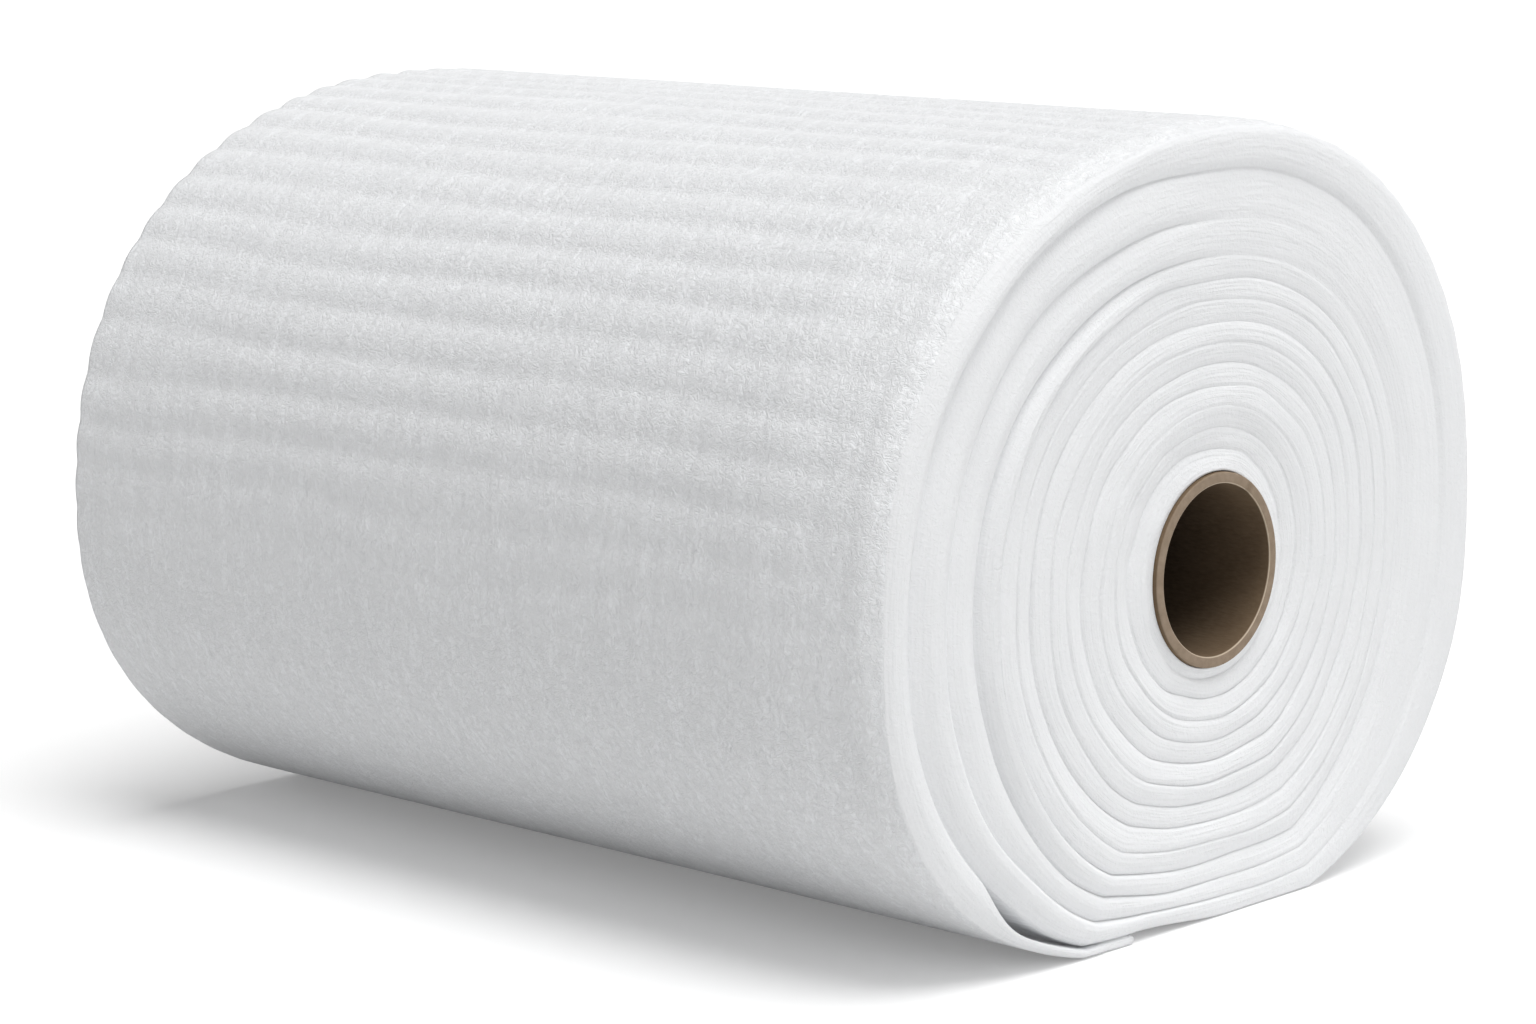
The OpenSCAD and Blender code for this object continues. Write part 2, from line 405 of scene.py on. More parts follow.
# %% [markdown]
# ## One closed mesh
#
# A roll's turns are one piece of foam, so they are one mesh: a shell that runs over the outside,
# round both edges, across the two spiral ends, into the gaps and through the bore. The points are
# laid out in grids, so that a face is four neighbours in a grid. Where a gap is closed, its rows of
# points are the same as the groove, and the faces that have no area are left out.

# %% Points
profile = np.array([0.06, 0.20, 0.50, 0.78, 0.94])
flat_bulge = np.array([0.65, 0.96, 1.0, 0.97, 0.68])
shingle_bulge = np.array([0.60, 1.0, 0.86, 0.48, 0.14])
gap_rows = np.array([0.0, 0.55, 1.0])
rim_rows = np.array([0.0, 0.0015, 0.0035, 0.0060, 0.0090, 0.0130])
rows = np.concatenate([rim_rows, np.linspace(0.018, web_width - 0.018, 76), web_width - rim_rows[::-1]])
half_stations = 2 * per_turn
points = []


def add(x, radius, angle):
    """Adds a grid of points and returns their numbers in the same layout."""
    x, radius, angle = np.broadcast_arrays(x, radius, angle)
    start = sum(len(p) for p in points)
    y = axis_y + radius * np.cos(np.radians(angle))
    z = np.maximum(axis_z + radius * np.sin(np.radians(angle)), 0.0)
    points.append(np.stack([x, y, z], axis=-1).reshape(-1, 3))
    return start + np.arange(x.size).reshape(x.shape)


# %% Points of the outside
part = np.linspace(0.0, 1.0, half_stations + 1)
outer_angle = tail_angle + 360.0 * part
outer_station = tail + part * per_turn
edge_x = {side: groove_x(outer_station, side) for side in (1, -1)}
across = rows[:, None] / web_width
outer_x = edge_x[1] * (1.0 - across) + edge_x[-1] * across
from_end = half_width - np.abs(outer_x)
curl_share = np.where(outer_x > 0, curls[1], curls[-1])
pitch_here = outer_pitch(np.minimum(outer_station + 1e-3, last))
curled = curl(pitch_here, part, outer_angle, curl_share) * (1.0 - smooth(0.0, curl_length, from_end))
outer_r = outline(outer_angle) - tail_lift(part) - curled - relief(part, outer_x)
outside_ids = add(outer_x, outer_r, outer_angle)
print("outside:", outside_ids.size, "points")


# %% Points of the ends
def end_ids(side):
    """The numbers of all points at one end: bore, ridge profile, outer edge and gap walls."""
    rim = outside_ids[0 if side == 1 else -1]
    bore_station = np.arange(per_turn, dtype=float)
    bore_ids = add(side * (half_width - core_level), bore_radius, direction(bore_station))
    bore_ids = np.append(bore_ids, bore_ids[0])

    met = turn_edge(stations, side)
    edge_r = np.where(stations < tail, met, outer_edge_radius(stations, side))
    edge_place = groove_x(stations, side)
    below = np.arange(tail)
    edge_ids = add(edge_place[below], edge_r[below], direction(stations[below]))
    edge_ids[0] = bore_ids[0]
    edge_ids = np.append(edge_ids, rim[::2])

    gap = gap_width(stations, side)
    gap[gap < least_gap] = 0.0
    depth = np.minimum(gap_depth, gap_slope * gap)
    inner_r = np.full(last + 1, bore_radius)
    inner_x = np.full(last + 1, side * (half_width - core_level))
    inner_r[per_turn:] = (met + gap)[:tail + 1]
    inner_x[per_turn:] = np.where(gap[:tail + 1] > 0, edge_place[per_turn:], edge_place[:tail + 1])

    u = profile[:, None]
    loose = shingled(stations)
    bulge = flat_bulge[:, None] * (1 - loose) + shingle_bulge[:, None] * loose
    ridge_x = inner_x * (1 - u) + edge_place * u + side * ridge(stations, side) * bulge
    ridge_r = inner_r * (1 - u) + edge_r * u
    ridge_ids = add(ridge_x, ridge_r, direction(stations))
    ridge_ids[:, 0] = bore_ids[0]

    opened = np.arange(tail + 1)
    v = gap_rows[:, None]
    half_gap = gap[opened] / 2 * np.sqrt(np.maximum(1.0 - v ** 2, 0.0))
    middle = met[opened] + gap[opened] / 2
    low_x = edge_place[opened] - side * depth[opened] * v
    high_x = inner_x[opened + per_turn] - side * depth[opened] * v
    low_ids = add(low_x[1:], (middle - half_gap)[1:], direction(stations[opened]))
    high_ids = add(high_x[:-1], (middle + half_gap)[:-1], direction(stations[opened]))
    closed = gap[opened] == 0
    low_ids = np.where(closed, edge_ids[opened], low_ids)
    high_ids = np.where(closed, edge_ids[opened], high_ids)
    walls = np.vstack([edge_ids[None, opened], low_ids, high_ids[::-1]])
    under = np.concatenate([bore_ids[:per_turn], walls[-1]])
    return {"bore": bore_ids, "under": under, "ridge": ridge_ids, "edge": edge_ids, "walls": walls}


ends = {side: end_ids(side) for side in (1, -1)}
points = np.concatenate(points)
print("whole web:", len(points), "points")

# %% [markdown]
# ## Faces, and a map of the web
#
# Each face also gets its place on the web, in a UV map with that name: how far along the web it is,
# in metres, and how far across. The finish uses it, because a foam web has lines that follow it.
# Faces of the cut edge and faces of the skin get different materials.

# %% Faces
SKIN, CUT = 0, 1
faces, face_uvs, face_finish = [], [], []


def face(corners, uvs, finish):
    """Adds a face without its repeated corners, unless nothing is left of it."""
    keep = [k for k in range(len(corners)) if corners[k] != corners[k - 1]]
    if len({corners[k] for k in keep}) < 3:
        return
    faces.append([int(corners[k]) for k in keep])
    face_uvs.append([uvs[k] for k in keep])
    face_finish.append(finish)


def grid_faces(ids, u, v, finish, turned):
    """Adds the faces of a grid. u belongs to its columns and v to its rows."""
    for r in range(len(ids) - 1):
        a, b = ids[r], ids[r + 1]
        va, vb = v[r], v[r + 1]
        for c in range(len(a) - 1):
            corners = [a[c], a[c + 1], b[c + 1], b[c]]
            uvs = [(u[c], va), (u[c + 1], va), (u[c + 1], vb), (u[c], vb)]
            face(corners[::turned], uvs[::turned], finish)


# %% Faces of the outside, the ends and the bore
step_length = np.radians(360.0 / per_turn) * web_radius(stations)
web_length = np.concatenate([[0.0], np.cumsum(step_length[1:])])
outer_length = np.interp(outer_station, stations, web_length)
mean_x = outer_x.mean(axis=1)
grid_faces(outside_ids, outer_length, mean_x, SKIN, 1)
for side, end in ends.items():
    ridge_rows = np.vstack([end["under"][None], end["ridge"], end["edge"][None]])
    v = np.concatenate([[0.0], profile, [1.0]])
    grid_faces(ridge_rows[:-1], web_length, v[:-1], CUT, side)
    grid_faces(ridge_rows[-2:, :tail + 1], web_length, v[-2:], CUT, side)
    wall_depth = gap_depth * np.concatenate([gap_rows[:1], gap_rows, gap_rows[::-1]])
    grid_faces(end["walls"], web_length[:tail + 1], side * (half_width - wall_depth), SKIN, side)
    rim, last_ridge = outside_ids[0 if side == 1 else -1], end["ridge"][-1]
    for n in range(per_turn):
        i, h = tail + n, 2 * n
        a, b = web_length[i], web_length[i + 1]
        m = (a + b) / 2
        top, low = 1.0, profile[-1]
        p, q = last_ridge[i], last_ridge[i + 1]
        face([p, q, rim[h + 1]][::side], [(a, low), (b, low), (m, top)][::side], CUT)
        face([q, rim[h + 2], rim[h + 1]][::side], [(b, low), (b, top), (m, top)][::side], CUT)
        face([p, rim[h + 1], rim[h]][::side], [(a, low), (m, top), (a, top)][::side], CUT)
    tail_end = [end["edge"][tail], *end["ridge"][:, last], end["edge"][last]]
    corners = len(profile) + 1
    fan_uv = [(web_length[last], k / corners) for k in range(corners + 1)]
    for k in range(1, corners):
        fan = [tail_end[0], tail_end[k], tail_end[k + 1]]
        face(fan[::-side], [fan_uv[0], fan_uv[k], fan_uv[k + 1]][::-side], CUT)
bore_rows = np.vstack([ends[1]["bore"][None], ends[-1]["bore"][None]])
grid_faces(bore_rows, web_length[:per_turn + 1], [half_width, -half_width], SKIN, -1)
tail_rows = np.stack([outside_ids[:, -1], outside_ids[:, 0]], axis=1)
grid_faces(tail_rows, [0.0, tail_thickness], mean_x, CUT, 1)
print(len(faces), "faces")


# %% The foam as a Blender object
def new_piece(name, points, faces, finishes, uv_name=None, uvs=None, finish_of_face=None):
    """Makes a smooth mesh object with its materials and, if given, its UV map."""
    mesh = bpy.data.meshes.new(name)
    mesh.from_pydata([tuple(p) for p in points], [], faces)
    for finish in finishes:
        mesh.materials.append(finish)
    if finish_of_face is not None:
        mesh.polygons.foreach_set("material_index", finish_of_face)
    if uvs is not None:
        layer = mesh.uv_layers.new(name=uv_name)
        flat = np.array([uv for face_uv in uvs for uv in face_uv], dtype=np.float32)
        layer.data.foreach_set("uv", flat.ravel())
    mesh.shade_smooth()
    mesh.update()
    piece = bpy.data.objects.new(name, mesh)
    bpy.context.scene.collection.objects.link(piece)
    print(name, "has", sum(len(f) - 2 for f in faces), "triangles")
    return piece


# %% [markdown]
# ## Small effects that several finishes share
#
# Two effects turn up in more than one material, so each is a node group with named inputs and
# outputs: the cells of the foam, which the skin and the cut edge both show, and soft blotches of
# lighter and darker colour, which the foam and the paper both have. A group is built once, and each
# material places it with its own values.


# %% Helpers for node trees
def node(tree, kind, values=None, **settings):
    """Adds a shader node, with its settings and the values of its inputs."""
    made = tree.nodes.new(kind)
    for key, value in settings.items():
        setattr(made, key, value)
    for key, value in (values or {}).items():
        socket = made.inputs[key]
        if isinstance(value, bpy.types.NodeSocket):
            tree.links.new(value, socket)
        else:
            socket.default_value = value
    return made


def math_node(tree, operation, *values):
    """Adds a Math node and returns its output."""
    return node(tree, "ShaderNodeMath", dict(enumerate(values)), operation=operation).outputs[0]


def mix_colours(tree, factor, first, second):
    """Mixes two colours and returns the result."""
    made = node(tree, "ShaderNodeMix", {0: factor, 6: first, 7: second}, data_type="RGBA")
    return made.outputs[2]


def scaled(tree, vector, factors):
    """Stretches a vector by three factors."""
    return node(tree, "ShaderNodeVectorMath", {0: vector, 1: factors}, operation="MULTIPLY").outputs[0]


def group_start(name, inputs, outputs):
    """Starts a node group: its inputs are (name, kind, value), its outputs (name, kind)."""
    tree = bpy.data.node_groups.new(name, "ShaderNodeTree")
    for label, kind, value in inputs:
        socket = tree.interface.new_socket(name=label, in_out="INPUT", socket_type=kind)
        if value is not None:
            socket.default_value = value
    for label, kind in outputs:
        tree.interface.new_socket(name=label, in_out="OUTPUT", socket_type=kind)
    return tree, tree.nodes.new("NodeGroupInput").outputs, tree.nodes.new("NodeGroupOutput").inputs


FLOAT, VECTOR, COLOUR = "NodeSocketFloat", "NodeSocketVector", "NodeSocketColor"


# %% Foam cells
def foam_cells_group():
    """Crinkled cell walls on a flat surface: fine creases, which the skin paints as glints, with small
    pockets between them.
    """
    tree, given, out = group_start(
        "foam_cells",
        [("Vector", VECTOR, None), ("Cell Size", FLOAT, 0.0025), ("Crinkle", FLOAT, 0.6)],
        [("Height", FLOAT), ("Crease", FLOAT)])
    scale = math_node(tree, "DIVIDE", 1.0, given["Cell Size"])
    crinkled = node(tree, "ShaderNodeTexNoise",
                    {"Vector": given["Vector"], "Scale": scale, "Detail": 1.0,
                     "Distortion": given["Crinkle"]},
                    noise_dimensions="2D")
    pockets = node(tree, "ShaderNodeTexVoronoi",
                   {"Vector": given["Vector"], "Scale": scale, "Randomness": 1.0},
                   feature="F1", voronoi_dimensions="2D")
    ridged = math_node(tree, "ABSOLUTE", math_node(tree, "SUBTRACT", crinkled.outputs[0], 0.5))
    crease = math_node(tree, "SUBTRACT", 1.0, math_node(tree, "MULTIPLY", ridged, 7.0))
    crease = node(tree, "ShaderNodeClamp", {"Value": crease}).outputs[0]
    height = math_node(tree, "ADD", math_node(tree, "MULTIPLY", crease, 0.5),
                       math_node(tree, "MULTIPLY", pockets.outputs["Distance"], 0.5))
    tree.links.new(height, out["Height"])
    tree.links.new(crease, out["Crease"])
    return tree


foam_cells = foam_cells_group()
print("group", foam_cells.name, "with", len(foam_cells.nodes), "nodes")


# %% Soft blotches
def blotches_group():
    """Soft lighter and darker patches, of any size."""
    tree, given, out = group_start(
        "blotches",
        [("Vector", VECTOR, None), ("Patch Size", FLOAT, 0.05), ("Colour", COLOUR, (1, 1, 1, 1)),
         ("Deeper", COLOUR, (0.8, 0.8, 0.8, 1)), ("Amount", FLOAT, 0.5)],
        [("Colour", COLOUR), ("Mask", FLOAT)])
    patch = node(tree, "ShaderNodeTexNoise",
                 {"Vector": given["Vector"], "Scale": math_node(tree, "DIVIDE", 1.0, given["Patch Size"]),
                  "Detail": 3.0, "Roughness": 0.6})
    mask = node(tree, "ShaderNodeMapRange",
                {"Value": patch.outputs[0], "From Min": 0.3, "From Max": 0.7, "To Max": given["Amount"]})
    mask = mask.outputs[0]
    colour = mix_colours(tree, mask, given["Colour"], given["Deeper"])
    tree.links.new(colour, out["Colour"])
    tree.links.new(mask, out["Mask"])
    return tree


blotches = blotches_group()
print("group", blotches.name, "with", len(blotches.nodes), "nodes")


# %% Starting a material
def material_start(name):
    """Starts a material and returns its tree, its surface shader and the place in the object."""
    made = bpy.data.materials.new(name)
    made.use_nodes = True
    tree = made.node_tree
    shader = tree.nodes["Principled BSDF"]
    place = node(tree, "ShaderNodeTexCoord").outputs["Object"]
    return made, tree, shader, place


def use_group(tree, group, values):
    """Places a node group in a tree with its own values."""
    made = tree.nodes.new("ShaderNodeGroup")
    made.node_tree = group
    for key, value in values.items():
        if isinstance(value, bpy.types.NodeSocket):
            tree.links.new(value, made.inputs[key])
        else:
            made.inputs[key].default_value = value
    return made.outputs


# %% [markdown]
# ## The foam's skin
#
# The flat side of the web is white with a trace of blue. Its cells are 2 to 3 mm across and their
# walls are shiny, so small flecks of it glint, in loose clusters; these glints are painted highlight,
# a pale colour on the cell creases and on the high spots of the bump, and the pits between them get
# painted shade. Along the web run faint ribs and drawn-out strokes, from the rollers, and each rib
# carries a stripe of painted shade. Light that scatters inside the foam would make it softer, but it
# takes long to render and is left out here. A single colour would look like paint, so blotches,
# cells, flecks and ribs all change it, and one bump carries the cells, flecks, strokes and ribs.

# %% Foam skin
rib_pitch = web_width / 30
skin_cell = 0.0030
stroke = (0.032, 0.0085)
fleck = (0.0052, 0.0026)
rib_shade = 0.14
foam_white = (0.855, 0.862, 0.872, 1)
# A greyer tone for the random blotches, and the colour of the painted shade along the ribs.
foam_grey_and_painted_shade = (0.80, 0.81, 0.825, 1)
# Painted glint: the pale colour laid on the cell creases and on the bright flecks.
foam_painted_glint = (0.955, 0.968, 0.985, 1)
# Painted shade in the pits between the cells.
foam_painted_pit_shade = (0.76, 0.77, 0.785, 1)


def foam_skin():
    """The flat side of the web."""
    made, tree, shader, place = material_start("foam_skin")
    web = node(tree, "ShaderNodeUVMap", uv_map="web").outputs[0]
    cells = use_group(tree, foam_cells, {"Vector": web, "Cell Size": skin_cell, "Crinkle": 1.2})
    patch = use_group(tree, blotches, {"Vector": place, "Patch Size": 0.045, "Colour": foam_white,
                                       "Deeper": foam_grey_and_painted_shade, "Amount": 0.35})
    strokes = node(tree, "ShaderNodeTexNoise",
                   {"Vector": scaled(tree, web, (1 / stroke[0], 1 / stroke[1], 1.0)),
                    "Scale": 1.0, "Detail": 2.0},
                   noise_dimensions="2D")
    flecks = node(tree, "ShaderNodeTexNoise",
                  {"Vector": scaled(tree, web, (1 / fleck[0], 1 / fleck[1], 1.0)),
                   "Scale": 1.0, "Detail": 3.0, "Roughness": 0.7, "Distortion": 1.0},
                  noise_dimensions="2D").outputs[0]
    clusters = math_node(tree, "ADD", flecks, math_node(tree, "MULTIPLY", strokes.outputs[0], 0.35))
    # Painted glint on the cell creases.
    painted_glint = math_node(tree, "MULTIPLY", cells["Crease"], 0.25)
    colour = mix_colours(tree, painted_glint, patch["Colour"], foam_painted_glint)
    # Painted glint: pale flecks in loose clusters, where the bump is high.
    painted_glint_flecks = node(tree, "ShaderNodeMapRange",
                {"Value": clusters, "From Min": 0.69, "From Max": 0.84, "To Max": 0.8}).outputs[0]
    # Painted shade in the pits, where the bump is low.
    painted_pit_shade = node(tree, "ShaderNodeMapRange",
                {"Value": flecks, "From Min": 0.42, "From Max": 0.24}).outputs[0]
    colour = mix_colours(tree, painted_glint_flecks, colour, foam_painted_glint)
    colour = mix_colours(tree, painted_pit_shade, colour, foam_painted_pit_shade)
    rough = math_node(tree, "SUBTRACT", 0.62, math_node(tree, "MULTIPLY", cells["Crease"], 0.22))
    tree.links.new(rough, shader.inputs["Roughness"])
    split = node(tree, "ShaderNodeSeparateXYZ", {0: web}).outputs
    along = math_node(tree, "MULTIPLY", split[1], 2 * math.pi / rib_pitch)
    swing = math_node(tree, "MULTIPLY", patch["Mask"], 3.0)
    rib = math_node(tree, "COSINE", math_node(tree, "ADD", along, swing))
    rib = math_node(tree, "MULTIPLY", rib, math_node(tree, "MULTIPLY", strokes.outputs[0], 0.6))
    # Painted shade in stripes along the ribs.
    painted_rib_shade = math_node(tree, "MULTIPLY", math_node(tree, "ADD", rib, 1.0), rib_shade)
    colour = mix_colours(tree, painted_rib_shade, colour, foam_grey_and_painted_shade)
    tree.links.new(colour, shader.inputs["Base Color"])
    height = math_node(tree, "ADD", cells["Height"], math_node(tree, "MULTIPLY", strokes.outputs[0], 1.2))
    height = math_node(tree, "ADD", height, rib)
    height = math_node(tree, "ADD", height, flecks)
    bump = node(tree, "ShaderNodeBump", {"Strength": 0.55, "Distance": 0.0008, "Height": height})
    tree.links.new(bump.outputs[0], shader.inputs["Normal"])
    return made


# %% [markdown]
# ## The foam's cut edge
#
# The edge of the web was slit, so it has no skin. It is duller, and it shows the plies of the web as
# fine lines that follow each turn. The UV map makes these easy: noise that is stretched a long way
# along the web and squeezed across it.

# %% Foam edge
edge_white = (0.845, 0.852, 0.862, 1)
edge_shade = (0.80, 0.808, 0.82, 1)
ply_length = 0.05
plies_across = 5.0


def foam_edge():
    """The slit edge of the web."""
    made, tree, shader, place = material_start("foam_edge")
    web = node(tree, "ShaderNodeUVMap", uv_map="web").outputs[0]
    split = node(tree, "ShaderNodeSeparateXYZ", {0: place}).outputs
    flat = node(tree, "ShaderNodeCombineXYZ", {0: split[1], 1: split[2]}).outputs[0]
    cells = use_group(tree, foam_cells, {"Vector": flat, "Cell Size": 0.0026, "Crinkle": 0.5})
    patch = use_group(tree, blotches, {"Vector": place, "Patch Size": 0.03, "Colour": edge_white,
                                       "Deeper": edge_shade, "Amount": 0.3})
    plies = node(tree, "ShaderNodeTexNoise",
                 {"Vector": scaled(tree, web, (1 / ply_length, plies_across, 1.0)),
                  "Scale": 1.0, "Detail": 2.0, "Roughness": 0.65},
                 noise_dimensions="2D")
    line = node(tree, "ShaderNodeMapRange",
                {"Value": plies.outputs[0], "From Min": 0.35, "From Max": 0.65})
    greyer = math_node(tree, "MULTIPLY", line.outputs[0], 0.3)
    colour = mix_colours(tree, greyer, patch["Colour"], edge_shade)
    tree.links.new(colour, shader.inputs["Base Color"])
    rough = math_node(tree, "SUBTRACT", 0.72, math_node(tree, "MULTIPLY", cells["Crease"], 0.15))
    tree.links.new(rough, shader.inputs["Roughness"])
    height = math_node(tree, "ADD", math_node(tree, "MULTIPLY", cells["Height"], 0.3), plies.outputs[0])
    bump = node(tree, "ShaderNodeBump", {"Strength": 0.5, "Distance": 0.0012, "Height": height})
    tree.links.new(bump.outputs[0], shader.inputs["Normal"])
    return made


foam = new_piece("foam_web", points, faces, [foam_skin(), foam_edge()], "web", face_uvs, face_finish)

# %% [markdown]
# ## The paper core
#
# The core is a tube of brown paper board, wound from strips on a slant and glued. It could be a
# plain tube, but up close its rims are slightly rounded from the saw, its inner edge is a thin lip,
# and a shallow seam runs through the bore in a helix. It is turned on a lathe, so to speak: one
# profile is carried round the axis, and the seam is pressed into the bore as the profile goes round.

# %% Core
saw_round = 0.0007
seam_lead = 0.19
seam_width = 0.0022
seam_depth = 0.0004
core_half = core_length / 2
bore_steps = 100
core_columns = 144


def core_profile():
    """Points (x, radius) once round the wall of the tube, from the inner edge of the near rim."""
    corner = np.radians(np.array([0.0, 30.0, 60.0, 90.0]))
    start_x, in_r, out_r = core_half - saw_round, core_inside + saw_round, core_outside - saw_round
    near_in = [(start_x + saw_round * math.sin(a), in_r - saw_round * math.cos(a)) for a in corner]
    near_out = [(start_x + saw_round * math.cos(a), out_r + saw_round * math.sin(a)) for a in corner]
    face_ring = [(core_half, in_r + (out_r - in_r) * t) for t in (0.33, 0.66)]
    near = near_in + face_ring + near_out
    far = [(-x, r) for x, r in reversed(near)]
    bore_x = np.linspace(-core_half + saw_round, core_half - saw_round, bore_steps)[1:-1]
    return np.array(near + far + [(x, core_inside) for x in bore_x])


def core_piece(finish):
    """Carries the profile round the axis and makes the tube."""
    walls = core_profile()
    turn = np.linspace(0.0, 2 * math.pi, core_columns, endpoint=False)[:, None]
    x, radius = walls[:, 0], walls[:, 1]
    seam = (x / seam_lead + turn / (2 * math.pi)) % 1.0 - 0.5
    pressed = seam_depth * np.exp(-(seam * seam_lead / seam_width) ** 2)
    radius = radius + np.where(radius < core_inside + 1e-6, pressed, 0.0)
    y = axis_y + radius * np.cos(turn)
    z = axis_z + radius * np.sin(turn)
    grid = np.stack([np.broadcast_to(x, y.shape), y, z], axis=-1)
    count = len(walls)
    core_faces, uvs = [], []
    for c in range(core_columns):
        for k in range(count):
            n, m = (c + 1) % core_columns, (k + 1) % count
            core_faces.append([c * count + k, c * count + m, n * count + m, n * count + k])
            left, right = c / core_columns, (c + 1) / core_columns
            low, high = walls[k, 0], walls[m, 0]
            uvs.append([(left, low), (left, high), (right, high), (right, low)])
    return new_piece("paper_core", grid.reshape(-1, 3), core_faces, [finish], "wound", uvs)


# %% [markdown]
# ## The paper's finish
#
# Core board is kraft paper: brown, matt, with short fibres and darker flecks. The strips were wound
# on a slant, so the fibres lie along the same helix as the seam. The saw cut at the rim is lighter
# than the inside of the bore, and its inner lip is lightest, where the smooth lining was cut. Deeper
# in the bore the wall is darkened with painted shade.

# %% Core board
board_rim = (0.31, 0.24, 0.178, 1)
board_rim_deep = (0.20, 0.148, 0.10, 1)
board_wall = (0.145, 0.096, 0.053, 1)
board_wall_deep = (0.10, 0.062, 0.032, 1)
board_lip = (0.62, 0.52, 0.40, 1)
board_fibre = (0.32, 0.24, 0.165, 1)
# Painted shade: the dark colour that the wall fades to deeper in the bore.
board_painted_shade = (0.022, 0.013, 0.006, 1)
shade_depth = 0.055
lip_width = 0.0006


def core_board():
    """Brown core board: rim, lip, wall, and painted shade darkening the inside of the bore."""
    made, tree, shader, place = material_start("core_board")
    shader.inputs["Specular IOR Level"].default_value = 0.25
    wound = node(tree, "ShaderNodeUVMap", uv_map="wound").outputs[0]
    fibres = node(tree, "ShaderNodeTexNoise",
                  {"Vector": scaled(tree, place, (260.0, 900.0, 900.0)), "Scale": 1.0, "Detail": 4.0})
    specks = node(tree, "ShaderNodeTexVoronoi", {"Vector": place, "Scale": 420.0, "Randomness": 1.0})
    speck = node(tree, "ShaderNodeMapRange", {"Value": specks.outputs["Distance"], "From Min": 0.12,
                                              "From Max": 0.02, "To Max": 0.4})
    rim = use_group(tree, blotches, {"Vector": place, "Patch Size": 0.004, "Colour": board_rim,
                                     "Deeper": board_rim_deep, "Amount": 0.7})
    wall = use_group(tree, blotches, {"Vector": place, "Patch Size": 0.018, "Colour": board_wall,
                                      "Deeper": board_wall_deep, "Amount": 0.8})
    split = node(tree, "ShaderNodeSeparateXYZ", {0: place})
    from_y = math_node(tree, "SUBTRACT", split.outputs[1], axis_y)
    from_z = math_node(tree, "SUBTRACT", split.outputs[2], axis_z)
    radius = math_node(tree, "SQRT", math_node(tree, "ADD", math_node(tree, "MULTIPLY", from_y, from_y),
                                               math_node(tree, "MULTIPLY", from_z, from_z)))
    from_middle = math_node(tree, "ABSOLUTE", split.outputs[0])
    at_rim = node(tree, "ShaderNodeMapRange", {"Value": from_middle, "From Min": core_half - saw_round,
                                               "From Max": core_half - saw_round / 3}).outputs[0]
    lip = node(tree, "ShaderNodeMapRange", {"Value": radius, "From Min": core_inside + lip_width,
                                            "From Max": core_inside + lip_width / 2}).outputs[0]
    slant = node(tree, "ShaderNodeSeparateXYZ", {0: wound})
    helix = math_node(tree, "FRACT", math_node(tree, "ADD", slant.outputs[0],
                                               math_node(tree, "DIVIDE", slant.outputs[1], seam_lead)))
    strip_edge = node(tree, "ShaderNodeMapRange",
                      {"Value": math_node(tree, "ABSOLUTE", math_node(tree, "SUBTRACT", helix, 0.5)),
                       "From Min": 0.012, "From Max": 0.004, "To Max": 0.35}).outputs[0]
    # Painted shade: the bore's wall darkens towards the middle of the tube.
    painted_bore_shade = node(tree, "ShaderNodeMapRange",
                {"Value": from_middle, "From Min": core_half - saw_round,
                 "From Max": core_half - shade_depth, "To Max": 0.95}).outputs[0]
    colour = mix_colours(tree, painted_bore_shade, wall["Colour"], board_painted_shade)
    colour = mix_colours(tree, at_rim, colour, rim["Colour"])
    colour = mix_colours(tree, math_node(tree, "MULTIPLY", lip, at_rim), colour, board_lip)
    colour = mix_colours(tree, strip_edge, colour, board_wall_deep)
    colour = mix_colours(tree, speck.outputs[0], colour, board_wall_deep)
    shade = math_node(tree, "MULTIPLY", fibres.outputs[0], 0.35)
    colour = mix_colours(tree, shade, colour, board_fibre)
    tree.links.new(colour, shader.inputs["Base Color"])
    rough = math_node(tree, "ADD", 0.72, math_node(tree, "MULTIPLY", fibres.outputs[0], 0.25))
    tree.links.new(rough, shader.inputs["Roughness"])
    bump = node(tree, "ShaderNodeBump", {"Strength": 0.35, "Distance": 0.0003, "Height": fibres.outputs[0]})
    tree.links.new(bump.outputs[0], shader.inputs["Normal"])
    return made


core = core_piece(core_board())

# %% [markdown]
# ## Floor and light
#
# The photograph was taken on a white sweep under big soft lamps. The floor is a plain pale plane.
# For the camera it is paler and gets a trace of glow, so that it reads as white where no shadow
# falls, without more light on the roll. A sun lamp with a wide disc stands in for the soft box:
# unlike an area lamp it lights the whole floor evenly. It stands almost overhead, a little to the
# right and towards the camera, so the shadow stays close under the roll. The room is brighter on
# the right, so the near end is light and the long side that faces the camera is greyer.

# %% Floor
floor_size = 60.0
floor_below = 0.0002
floor_colour = (0.82, 0.82, 0.82, 1)
floor_seen = (0.90, 0.90, 0.90, 1)
floor_glow = 0.20


def floor_finish():
    """Pale paint that takes the roll's shadow, paler and faintly glowing to the camera."""
    made = bpy.data.materials.new("floor_white")
    made.use_nodes = True
    tree = made.node_tree
    tree.nodes.clear()
    rays = node(tree, "ShaderNodeLightPath").outputs
    seen = math_node(tree, "MAXIMUM", rays["Is Camera Ray"], rays["Is Glossy Ray"])
    colour = mix_colours(tree, seen, floor_colour, floor_seen)
    paint = node(tree, "ShaderNodeBsdfDiffuse", {"Color": colour})
    glow = node(tree, "ShaderNodeEmission", {"Color": (1, 1, 1, 1),
                                             "Strength": math_node(tree, "MULTIPLY", seen, floor_glow)})
    both = node(tree, "ShaderNodeAddShader", {0: paint.outputs[0], 1: glow.outputs[0]})
    node(tree, "ShaderNodeOutputMaterial", {"Surface": both.outputs[0]})
    return made


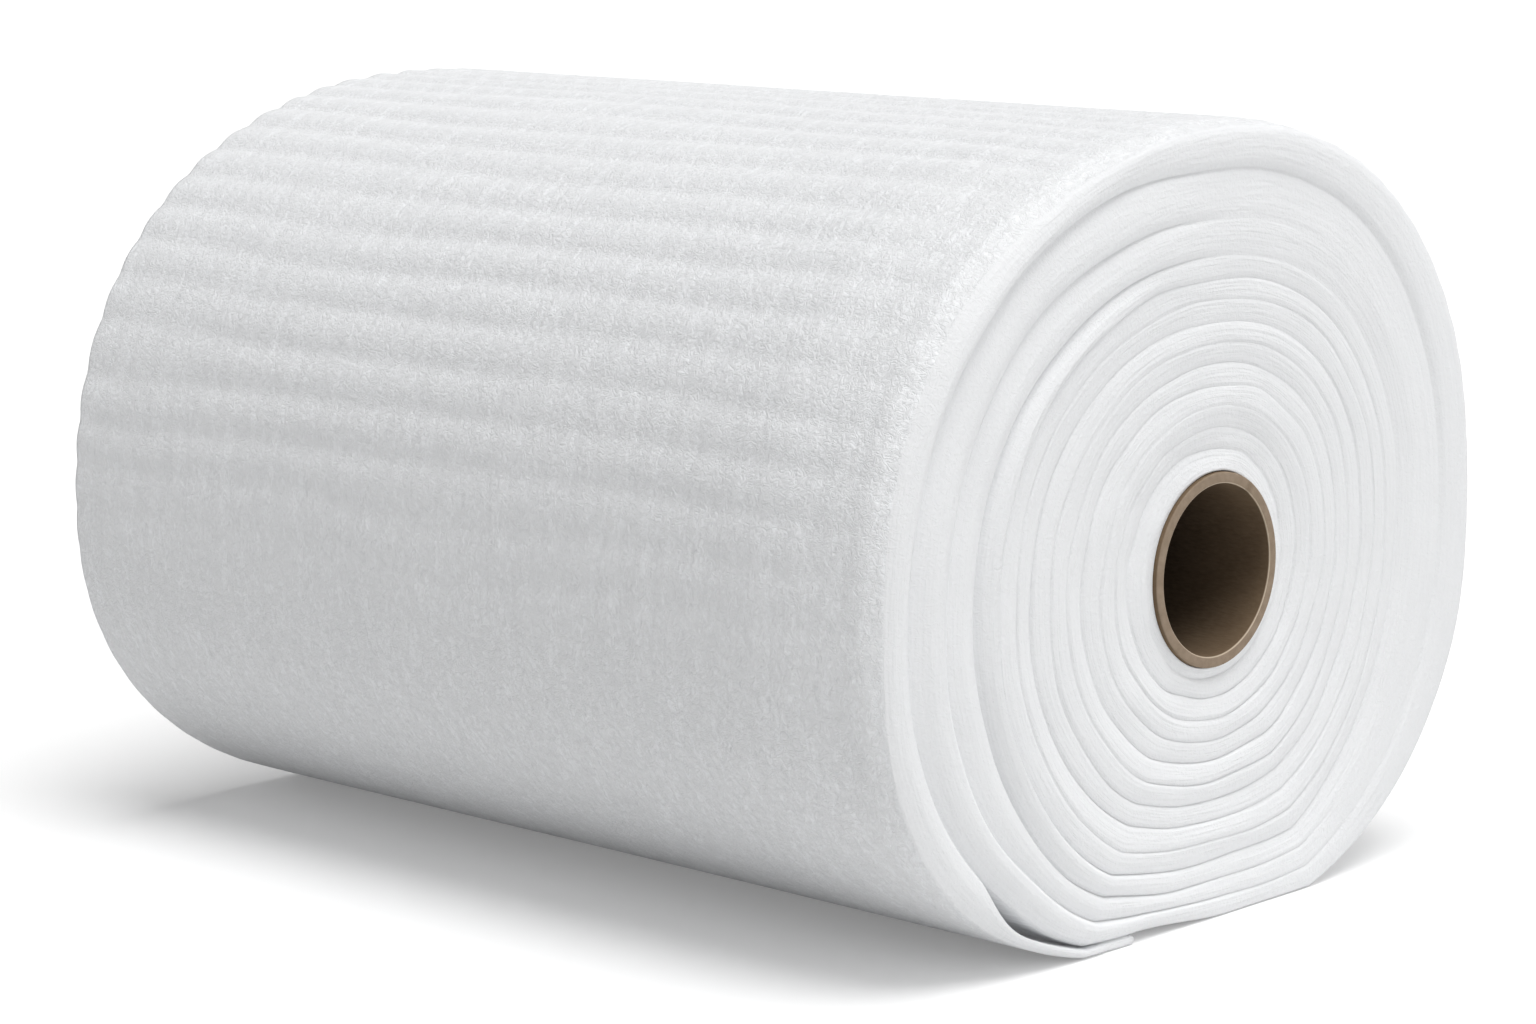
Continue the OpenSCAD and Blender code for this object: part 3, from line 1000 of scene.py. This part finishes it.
floor_mesh = bpy.data.meshes.new("floor")
h = floor_size / 2
floor_corners = [(-h, -h, -floor_below), (h, -h, -floor_below), (h, h, -floor_below), (-h, h, -floor_below)]
floor_mesh.from_pydata(floor_corners, [], [[0, 1, 2, 3]])
floor_mesh.materials.append(floor_finish())
floor = bpy.data.objects.new("floor", floor_mesh)
bpy.context.scene.collection.objects.link(floor)

# %% Lamp and sky
key_from = Vector((0.17, -0.06, 0.68))
key_strength = 2.22
key_disc = math.radians(40)
sky_strength = 0.17
sky_right = 0.85
brighter_towards = (0.88, 0.47, 0.0)
room_seen = 0.995

key_data = bpy.data.lights.new("soft_key", "SUN")
key_data.energy = key_strength
key_data.angle = key_disc
key = bpy.data.objects.new("soft_key", key_data)
key.rotation_euler = key_from.to_track_quat("Z", "Y").to_euler()
bpy.context.scene.collection.objects.link(key)

world = bpy.data.worlds.new("white_room")
world.use_nodes = True
bpy.context.scene.world = world
sky = world.node_tree
sky.nodes.clear()
rays = node(sky, "ShaderNodeLightPath").outputs
seen = math_node(sky, "MAXIMUM", rays["Is Camera Ray"], rays["Is Glossy Ray"])
look = node(sky, "ShaderNodeTexCoord").outputs["Generated"]
to_right = node(sky, "ShaderNodeVectorMath", {0: look, 1: brighter_towards},
                operation="DOT_PRODUCT").outputs["Value"]
extra = math_node(sky, "MULTIPLY", math_node(sky, "MAXIMUM", to_right, 0.0), sky_right)
room = math_node(sky, "ADD", extra, sky_strength)
strength = node(sky, "ShaderNodeMapRange",
                {"Value": seen, "To Min": room, "To Max": room_seen}).outputs[0]
light = node(sky, "ShaderNodeBackground", {"Color": (1, 1, 1, 1), "Strength": strength})
node(sky, "ShaderNodeOutputWorld", {"Surface": light.outputs[0]})

view = bpy.context.scene.view_settings
view.view_transform = "Standard"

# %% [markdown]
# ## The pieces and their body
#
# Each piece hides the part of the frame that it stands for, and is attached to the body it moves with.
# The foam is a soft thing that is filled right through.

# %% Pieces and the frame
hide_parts("foam_roll")
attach(foam, "root")
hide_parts("core")
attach(core, "root")
